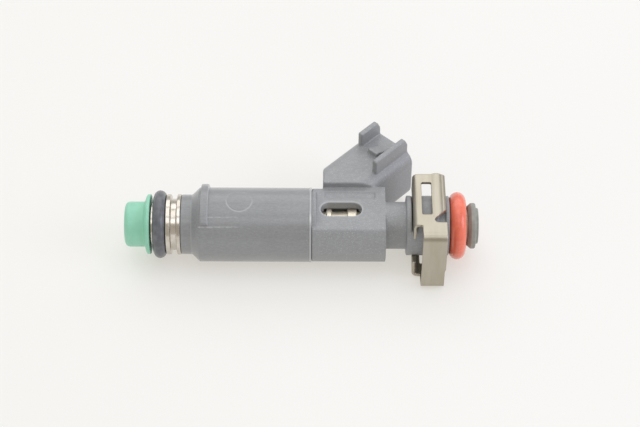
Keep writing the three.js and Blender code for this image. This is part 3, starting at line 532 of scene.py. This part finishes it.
def makeBarrelSleeve():
    low, high = boxOf("barrel_sleeve")
    can = boxOf("solenoid_can")
    sleeve = {"nose": 6.4, "noseLength": 2.3, "cone": 1.6, "radius": 7.95, "bore": can[1][1] + 0.05,
              "shank": 5.05, "rib": 0.75, "ribWidth": 1.65, "ribSetback": 0.35, "parting": 135.0,
              "lip": 0.09, "lipWidth": 0.38, "lipGlint": 124.0,
              "witness": 122.8, "witnessHeight": 0.05, "witnessLength": 6.5, "witnessWidth": 0.012,
              "markAt": 24.6, "markAngle": 93.0, "markRadius": 2.7, "markDepth": 0.07,
              "markWidth": 0.13}
    cone = low[0] + sleeve["noseLength"]
    start = cone + sleeve["cone"]
    ribFrom = start + sleeve["ribSetback"]
    ribTo = ribFrom + sleeve["ribWidth"]
    base = roundedOutline([
        (low[0], sleeve["shank"], 0.1),
        (low[0], sleeve["nose"], 0.2),
        (cone, sleeve["nose"], 0.6),
        (start, sleeve["radius"], 0.5),
        (high[0] - 0.5, sleeve["radius"], 0.1),
        (high[0] - sleeve["lipWidth"], sleeve["radius"] + sleeve["lip"], 0.05),
        (high[0], sleeve["radius"] + sleeve["lip"], 0.08),
        (high[0], sleeve["bore"], 0.1),
        (can[0][0], sleeve["bore"], 0.1),
        (can[0][0], sleeve["shank"], 0.1)])
    mark = boxOf("nozzle_cap")[0][0] + sleeve["markAt"]
    # extra rings along the outer wall, close together at the rib's walls and the ejector's mark
    walls = np.concatenate([np.linspace(start + 0.26, ribFrom - 0.1, 3),
                            np.linspace(ribFrom - 0.07, ribFrom + 0.2, 12),
                            np.linspace(ribFrom + 0.25, ribTo - 0.25, 6),
                            np.linspace(ribTo - 0.2, ribTo + 0.15, 12),
                            np.linspace(ribTo + 0.5, mark - 3.3, 8),
                            np.linspace(mark - 3.2, mark + 3.2, 46),
                            np.linspace(mark + 3.5, high[0] - 0.7, 20)])
    middle = (low[0] + high[0]) / 2
    before = np.argmax(base[:, 0] > middle)
    rings = np.stack([walls, np.full(len(walls), sleeve["radius"])], axis=1)
    outline = np.concatenate([base[:before], rings, base[before:]])
    ends = math.radians(sleeve["parting"])
    quarter = math.pi / 2

    def turnFrom(angle, start):
        # the angle measured from start, between half a turn back and half a turn on
        return (angle - start + math.pi) % (2 * math.pi) - math.pi

    def witness(station, angle):
        # the fine lines left by the tool's halves, beside the rib's ends
        middle = turnFrom(angle, ends - quarter)
        other = math.radians(sleeve["witness"]) - ends + quarter
        beside = hump(np.abs(middle), quarter + 0.055, sleeve["witnessWidth"])
        upper = hump(middle, other, sleeve["witnessWidth"]) * (station > ribTo)
        lines = beside * (station > ribFrom - 0.3) + 0.8 * upper
        return lines * (station < ribTo + sleeve["witnessLength"])

    def markAway(station, angle):
        # distance from the ejector's mark along the surface, and the turn from its middle
        turn = turnFrom(angle, math.radians(sleeve["markAngle"]))
        return np.hypot(station - mark, turn * sleeve["radius"]), turn

    def rib(station, radius, angle):
        # a half ring: full height between its two walls and between the two parting angles
        outside = radius > sleeve["nose"] - 0.2
        ease = 0.06
        along = np.clip((station - ribFrom + ease) / (2 * ease), 0, 1)
        along = along * np.clip((ribTo + ease - station) / (2 * ease), 0, 1)
        crown = 1 - 0.12 * ((station - (ribFrom + ribTo) / 2) / sleeve["ribWidth"] * 2) ** 6
        middle = turnFrom(angle, ends - quarter)
        around = np.clip((quarter - np.abs(middle)) / 0.02, 0, 1)
        top = sleeve["radius"] + sleeve["rib"]
        line = sleeve["witnessHeight"] * witness(station, angle)
        # the ejector's mark is a shallow ring pressed in
        away = markAway(station, angle)[0]
        pressed = sleeve["markDepth"] * hump(away, sleeve["markRadius"], sleeve["markWidth"])
        smooth = along * along * (3 - 2 * along) * around
        return np.where(outside, (top - radius) * smooth * np.clip(crown, 0, 1) + line - pressed, 0)

    def highlightShare(points):
        # painted highlights: glints along the witness lines, on the lit side of the ejector's mark, on
        # the end's lip, along the rib's edges and where the nose meets the cone
        station, y, z = points.T
        radius, angle = np.hypot(y, z), np.arctan2(z, y)
        wall = sleeve["radius"]
        away, turn = markAway(station, angle)
        glint = 0.55 + 0.45 * np.sin(station * 5.3) * np.sin(station * 2.1 + 1)
        fade = np.clip(1.1 - (station - ribTo) / 9, 0.3, 1)
        paintedHighlight = 0.6 * witness(station, angle) * glint * fade
        ring = hump(away, sleeve["markRadius"] + 0.08, 0.14)
        # the ring of the ejector's mark is painted lighter on its lit side
        paintedHighlight += 0.28 * ring * np.clip(turn * 4 + 0.4, 0.15, 1)
        lip = (station > high[0] - 0.42) * (radius > wall)
        # painted glint along the end's lip, strongest at one angle round the axis
        paintedHighlight += (0.3 + 0.4 * hump(angle, math.radians(sleeve["lipGlint"]), 0.12)) * lip
        crest = hump(station, ribTo, 0.1) + 0.6 * hump(station, ribFrom, 0.1)
        paintedHighlight += 0.5 * crest * (radius > wall + 0.35)
        paintedHighlight += 0.12 * hump(station, cone, 0.12)
        return paintedHighlight * (radius > sleeve["nose"] - 0.1)

    points, faces = turned(outline, 360, rib)
    piece = putMesh("barrelSleeve", points, faces, barrelNylon, "grey_nylon", "injector",
                    "barrel_sleeve")
    paintHighlight(piece, highlightShare(points))


def makeInletTube():
    low, high = boxOf("inlet_tube")
    body = boxOf("connector_body")
    disc = boxOf("inlet_disc")
    tube = {"radius": 2.9, "bore": 1.7, "ring": 3.5, "head": 3.7, "headBore": 2.9, "neck": 3.3,
            "spigot": 2.15, "spigotLength": 2.3, "headSetback": 5.2, "headCone": 0.8,
            "rings": ((3.7, 1.2), (8.65, 2.1))}
    head = body[1][0] - tube["headSetback"]
    segment = boxOf("barrel_sleeve")[1][0] + 0.05
    rings = []
    for middle, width in tube["rings"]:
        start = segment + middle - width / 2
        rings += [(start, tube["radius"], 0.1), (start, tube["ring"], 0.3),
                  (start + width, tube["ring"], 0.3), (start + width, tube["radius"], 0.1)]
    outline = roundedOutline([
        (low[0], tube["spigot"], 0.05), (low[0], tube["radius"], 0.1), *rings,
        (head, tube["radius"], 0.3), (head + tube["headCone"], tube["head"], 0.3),
        (disc[0][0] - 0.1, tube["head"], 0.05), (disc[0][0] - 0.1, tube["neck"], 0.05),
        (high[0], tube["neck"], 0.1), (high[0], tube["headBore"], 0.1),
        (head + tube["headCone"], tube["headBore"], 0.2), (head, tube["bore"], 0.2),
        (low[0] + tube["spigotLength"], tube["bore"], 0.05),
        (low[0] + tube["spigotLength"], tube["spigot"], 0.05)])
    putMesh("inletTube", *turned(outline), tubeSteel, "stainless", "injector", "inlet_tube")


def makeInletDisc():
    low, high = boxOf("inlet_disc")
    disc = {"bore": 3.35, "back": 4.25, "face": 3.85, "step": 0.5, "chamfer": 0.75}
    outline = roundedOutline([
        (low[0], disc["bore"], 0.05),
        (low[0], disc["back"], 0.1),
        (low[0] + disc["chamfer"], high[1], 0.15),
        (high[0] - disc["step"] - 0.1, high[1], 0.3),
        (high[0] - disc["step"], disc["face"], 0.08),
        (high[0], disc["face"] - 0.05, 0.12),
        (high[0], disc["bore"], 0.1)])
    putMesh("inletDisc", *turned(outline), discPlastic, "grey_disc", "injector", "inlet_disc")


makeCap()
makeSeal("lowerSeal", "lower_o_ring", rubberBlack, "black_rubber")
makeSeal("upperSeal", "upper_o_ring", rubberRed, "red_rubber")
makeNozzleBarrel()
makeBarrelSleeve()
makeInletTube()
makeInletDisc()
print("turned pieces made")

# ---- connector body: one moulding, worked out as a distance field

bodyLow, bodyHigh = boxOf("connector_body")
segmentStart = boxOf("barrel_sleeve")[1][0] + 0.05
tip = boxOf("nozzle_cap")[0][0]
moulding = {
    "radius": 7.85, "flat": 5.0, "length": 15.8, "neck": 5.05, "neckLength": 4.4, "collar": 6.4,
    "bore": 2.95, "slotLength": 8.8, "slotHeight": 4.0, "slotSetback": 1.9,
    "panelSetback": 0.4, "panelLength": 10.8, "panelHeight": 1.65, "panelDepth": 0.25,
    "panelBottom": 3.35, "setback": 2.4, "base": 6.36, "edge": 0.22, "spigotStep": 0.65,
    "grooveSetback": 0.9, "grooveReach": 2.5, "grooveDepth": 0.4, "headRoom": 0.8,
    "headRoomDepth": 5.2, "ringRoom": 0.6, "ringRoomFrom": 2.5, "ringRoomTo": 10.1,
    "gripSetback": 0.25, "gripReach": 0.95, "gripHalf": 3.45, "gripGap": 0.25}
plug = {
    "lean": 47.0, "width": 12.4, "height": 13.0, "round": 3.0, "wall": 1.3, "offset": 28.65,
    "mouth": 53.5, "depth": 9.0, "railHeight": 3.5, "railThick": 1.15, "railSpacing": 7.95,
    "shortRail": 6.1, "longRail": 10.3, "chamfer": 0.9, "wedgeWidth": 2.6, "wedgeLength": 2.9,
    "wedgeHeight": 1.2, "wedgeSetback": 3.65}


def slotField(x, y):
    # the slot's outline, square to the flats
    long, half = moulding["slotLength"] / 2, moulding["slotHeight"] / 2
    middle = segmentStart + moulding["slotSetback"] + long
    return roundedRectField(x - middle, y, long, half, half - 0.01)


def mouldingField(x, y, z):
    # segment, neck, collar and connector joined, then the hollows cut out
    m, p = moulding, plug
    e = m["edge"]
    end = segmentStart + m["length"]
    collarStart = end + m["neckLength"]
    # segment with two flats, and the root that carries the connector
    segment = meet(rodField(x, y, z, segmentStart, end, m["radius"], e), np.abs(z) - m["flat"], e)
    root = boxField(x, y, z, (segmentStart + m["setback"], 0, -m["flat"]),
                    (end, m["base"] + 0.5, m["flat"]), e)
    body = np.minimum(segment, root)
    spigot = rodField(x, y, z, bodyLow[0], segmentStart + 1, m["radius"] - m["spigotStep"], e)
    body = join(body, spigot, 0.1)
    body = join(body, rodField(x, y, z, end - 1, collarStart + 1, m["neck"], e), 0.3)
    # collar with a shallow groove near its outer end
    collar = rodField(x, y, z, collarStart, bodyHigh[0], m["collar"], e)
    groove = meet(slabField(x, bodyHigh[0] - m["grooveReach"], bodyHigh[0] - m["grooveSetback"]),
                  m["collar"] - m["grooveDepth"] - np.hypot(y, z), 0.15)
    body = join(body, cut(collar, groove, 0.12), 0.25)
    # connector block
    lean = math.radians(p["lean"])
    out = (x - tip) * math.cos(lean) + y * math.sin(lean)
    across = (x - tip) * math.sin(lean) - y * math.cos(lean) - p["offset"]
    bar = roundedRectField(across, z, p["width"] / 2, p["height"] / 2, p["round"])
    block = meet(bar, out - p["mouth"], 0.3)
    block = meet(block, segmentStart + m["setback"] - x, 0.35)
    block = meet(block, m["base"] - y, 0.3)
    body = join(body, block, 0.2)
    # latch rails, their corner at the mouth cut off
    for side, length in ((-1, p["shortRail"]), (1, p["longRail"])):
        middle = side * p["railSpacing"] / 2
        top = p["height"] / 2 + p["railHeight"]
        rail = meet(slabField(across, middle - p["railThick"] / 2, middle + p["railThick"] / 2),
                    slabField(out, p["mouth"] - length, p["mouth"]), 0.2)
        rail = meet(rail, slabField(z, p["height"] / 2 - 1, top), 0.2)
        bevel = ((out - p["mouth"]) * 2 + (z - top) + 2 * p["chamfer"]) / math.sqrt(5)
        rail = meet(rail, bevel, 0.15)
        body = join(body, rail, 0.25)
    # latch wedge: steep toward the body, sloping down toward the mouth
    thick = p["mouth"] - p["wedgeSetback"] - p["wedgeLength"]
    wedge = meet(slabField(across, -p["wedgeWidth"] / 2, p["wedgeWidth"] / 2),
                 slabField(out, thick, thick + p["wedgeLength"] + 1), 0.12)
    slope = p["wedgeHeight"] / p["wedgeLength"]
    above = z - p["height"] / 2 - p["wedgeHeight"]
    face = (above + slope * (out - thick - 0.4)) / math.hypot(1, slope)
    face = meet(face, above, 0.1)
    wedge = meet(meet(wedge, face, 0.12), p["height"] / 2 - 1 - z, 0.1)
    body = join(body, wedge, 0.15)
    # socket, bore, slots, panels and the cuts for the clip's flanges
    inner = roundedRectField(across, z, p["width"] / 2 - p["wall"], p["height"] / 2 - p["wall"],
                             p["round"] - p["wall"])
    body = cut(body, meet(inner, p["mouth"] - p["depth"] - out, 0.3), 0.25)
    wide = np.clip(x - bodyHigh[0] + m["headRoomDepth"], 0, m["headRoom"])
    ringed = (x > segmentStart + m["ringRoomFrom"]) & (x < segmentStart + m["ringRoomTo"])
    rings = m["ringRoom"] * ringed
    body = cut(body, np.hypot(y, z) - m["bore"] - wide - rings, 0.08)
    body = cut(body, slotField(x, y), 0.2)
    panelStart = segmentStart + m["setback"] + m["panelSetback"]
    panel = meet(slabField(x, panelStart, panelStart + m["panelLength"]),
                 slabField(y, m["panelBottom"], m["panelBottom"] + m["panelHeight"]), 0.1)
    panel = meet(panel, m["flat"] - m["panelDepth"] - np.abs(z), 0.05)
    body = cut(body, panel, 0.08)
    clipAt = boxOf("retaining_clip")[0][0]
    grip = meet(slabField(x, clipAt - m["gripSetback"], clipAt + m["gripReach"]),
                m["gripHalf"] - np.abs(z), 0.1)
    grip = meet(grip, np.abs(y) - m["collar"] - m["gripGap"], 0.1)
    return cut(body, grip, 0.1)


def makeConnectorBody():
    low = bodyLow - 0.6
    high = bodyHigh + 0.6
    surface = fieldSurface(mouldingField, low, high, 0.22)
    piece = putMesh("connectorBody", *surface, bodyNylon, "grey_nylon", "injector", "connector_body")
    x, y, z = surface[0].T
    onFlat = np.abs(z) > moulding["flat"] - 0.3
    # painted highlight along the slots' rims on the flats
    paintHighlight(piece, 0.45 * hump(slotField(x, y), 0.05, 0.2) * onFlat)  # the slots' rims
    print("connector body", len(piece.data.polygons), "faces")


makeConnectorBody()

# ---- retaining clip: bent strip, as a distance field

clipLow, clipHigh = boxOf("retaining_clip")
clip = {"sheet": 0.7, "bend": 1.9, "edgeBend": 1.2, "inner": 3.6, "flangeEnd": -7.5, "half": 8.0,
        "webInset": 1.85, "windowInset": 1.85, "windowWidth": 2.1, "windowTop": 5.2,
        "windowBottom": -4.3, "notchY": -5.85, "notchRadius": 0.7, "notchDepth": 2.5,
        "lip": 2.95, "lipRise": 0.3, "lipFall": 0.5, "lipEnd": -6.4, "webStep": 0.22,
        "webStepEnd": -1.6, "webTop": -9.0, "flangeReach": 1.6}
far = 60  # mm, beyond any of the clip's edges


def clipField(x, y, z):
    # a U of sheet with rolled lips and gripping flanges, then its windows and notches cut out
    c = clip
    t = c["sheet"]
    side = np.abs(z)
    top = clipHigh[1]
    right = clipHigh[0]
    # rolled lip: the sheet rises and falls along one edge of each leg
    share = np.clip((x - (right - c["lip"])) / c["lip"], 0, 1)
    rise = c["lipRise"] * np.sin(math.pi * np.minimum(1, share * 1.35)) - c["lipFall"] * share ** 6
    legs = np.clip((y - c["lipEnd"]) / 1.2, 0, 1)
    level = side - rise * legs
    # the U: a rounded outline open at the top, made a shell of one sheet thickness
    outer = roundedRectField(y - (clipLow[1] + far), level, far, c["half"], c["bend"])
    shell = np.abs(outer + t / 2) - t / 2
    left = clipLow[0] + c["webInset"]
    # the legs are wider than the web, down to the flanges' ends; the web steps in a little low down
    leftEdge = np.where(y > c["flangeEnd"] + 0.02, clipLow[0] + c["edgeBend"], left)
    step = c["webStep"] * np.clip((c["webStepEnd"] - z) / 0.9, 0, 1) * (y < c["webTop"])
    strip = meet(shell, np.maximum(leftEdge - x, x - right + step), 0.1)
    strip = meet(strip, y - top, 0.15)
    # gripping flange, bent inward along the other edge
    fold = -roundedRectField(x - (clipLow[0] + far), side - (c["half"] - far), far, far,
                             c["edgeBend"])
    flange = np.abs(fold - t / 2) - t / 2
    flange = meet(flange, x - clipLow[0] - c["flangeReach"], 0.05)
    flange = meet(flange, c["inner"] - side, 0.2)
    flange = meet(flange, slabField(y, c["flangeEnd"], top), 0.2)
    body = np.minimum(strip, flange)
    # window, notch and the lip's slanted lower corner, cut through both legs
    windowMiddle = clipLow[0] + c["windowInset"] + c["windowWidth"] / 2
    window = roundedRectField(x - windowMiddle, y - (c["windowTop"] + c["windowBottom"]) / 2,
                              c["windowWidth"] / 2, (c["windowTop"] - c["windowBottom"]) / 2, 0.3)
    body = cut(body, meet(window, 5 - side, 0), 0.08)
    notchX = right - c["notchDepth"] + c["notchRadius"]
    notch = np.hypot(np.minimum(x - notchX, 0), y - c["notchY"]) - c["notchRadius"]
    corner = -0.8 * (x - right) + 0.6 * (y + 2.5)
    corner = meet(corner, c["notchY"] - y, 0.5)
    notch = join(notch, corner, 0.5)
    notch = meet(notch, 5.5 - side, 0)
    return cut(body, notch, 0.08)


def makeClip():
    low = clipLow - 0.5
    high = clipHigh + 0.5
    surface = fieldSurface(clipField, low, high, 0.125)
    piece = putMesh("retainingClip", *surface, springSteel, "spring_steel", "clip", "retaining_clip")
    print("clip", len(piece.data.polygons), "faces")


makeClip()

# ---- CAD nodes that keep their shape, with their finishes

finishes = {
    "orifice_plate": tubeSteel, "valve_seat": tubeSteel, "ball_guide": tubeSteel,
    "valve_ball": polishedSteel, "needle_rod": tubeSteel,
    "armature": dullMetal("turnedMagneticSteel", "#8f8e8a", "#7c7b78"),
    "return_spring": tubeSteel, "spring_adjuster": tubeSteel,
    "pole_piece": dullMetal("turnedMagneticSteelPole", "#94938f", "#807f7b"),
    "armature_sleeve": tubeSteel,
    "coil_bobbin": dullPlastic("mouldedPlasticBlack", "#2c2c2d", "#202021"),
    "coil_winding": dullMetal("enamelledCopperWire", "#b8703e", "#9c5a30", 0.35),
    "solenoid_can": dullMetal("drawnMagneticSteel", "#908f8b", "#7d7c78"),
    "can_washer": dullMetal("stampedMagneticSteel", "#8d8c88", "#7a7975"),
    "terminal_pin_1": dullMetal("tinPlatedBrass", "#d2ccb8", "#c2bca8", 0.3),
    "filter_frame": dullPlastic("mouldedPlasticDark", "#5c564e", "#48433d"),
    "filter_mesh": dullMetal("wovenGauze", "#b0aca2", "#9a968c", 0.5)}
finishes["terminal_pin_2"] = finishes["terminal_pin_1"]
for node, material in finishes.items():
    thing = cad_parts[node]
    thing.data.materials.clear()
    thing.data.materials.append(material)
print("finishes set")

# ---- floor and light


def makeFloor():
    lowest = cadBox[0][2]
    size = 1.5
    signs = ((-1, -1), (1, -1), (1, 1), (-1, 1))
    points = np.array([[size * a, size * b, lowest] for a, b in signs])
    mesh = bpy.data.meshes.new("floor")
    mesh.from_pydata(points.tolist(), [], [(0, 1, 2, 3)])
    floor = bpy.data.objects.new("floor", mesh)
    bpy.context.scene.collection.objects.link(floor)
    # white acrylic lit softly from beneath, so that shadows stay light and a little warm
    material, tree, shader, place = startMaterial(
        "whiteAcrylic", Roughness=0.9, Emission_Color=linear("#fffaf0"), Emission_Strength=0.5)
    colour = ramp(tree, noise(tree, place, 90, 2.0), [(0.3, "#a8aaad"), (0.7, "#aaacaf")])
    tree.links.new(colour, shader.inputs["Base Color"])
    mesh.materials.append(material)


def makeLight(name, size, power, place, colour="#ffffff"):
    data = bpy.data.lights.new(name, "AREA")
    data.shape = "RECTANGLE"
    data.size, data.size_y = size
    data.energy = power
    data.color = linear(colour)[:3]
    light = bpy.data.objects.new(name, data)
    bpy.context.scene.collection.objects.link(light)
    light.location = place
    toward = -np.array(place) + np.array([-0.03, 0, 0])
    light.rotation_mode = "QUATERNION"
    light.rotation_quaternion = Vector(toward).to_track_quat("-Z", "Y")


def makeWorld():
    # an even grey surround, a little darker and warmer low down in front
    world = bpy.data.worlds.new("studio")
    bpy.context.scene.world = world
    world.use_nodes = True
    tree = world.node_tree
    toward = addNode(tree, "ShaderNodeVectorMath", {"operation": "DOT_PRODUCT"},
                     Vector=tree.nodes.new("ShaderNodeTexCoord").outputs["Generated"])
    toward.inputs[1].default_value = (0.0, -0.94, 0.34)
    shade = ramp(tree, toward.outputs["Value"], [(0.6, "#cecece"), (0.95, "#c2bcb3")])
    tree.links.new(shade, tree.nodes["Background"].inputs[0])
    tree.nodes["Background"].inputs[1].default_value = 1.0
    bpy.context.scene.view_settings.view_transform = "Standard"


# size in metres, power in watts, place in metres
lights = {
    "softboxAbove": {"size": (0.7, 0.5), "power": 1.2, "place": (-0.03, 0.06, 0.8)},
    "panelBehind": {"size": (1.2, 0.5), "power": 2.0, "place": (-0.03, 0.56, 0.57)},
    "panelFront": {"size": (0.35, 0.3), "power": 0.45, "place": (-0.03, -0.4, 0.7)},
    "panelRight": {"size": (0.4, 0.4), "power": 1.3, "place": (0.55, -0.12, 0.3),
                   "colour": "#e6ecff"}}
makeFloor()
for name, light in lights.items():
    makeLight(name, **light)
makeWorld()

print("scene ready")
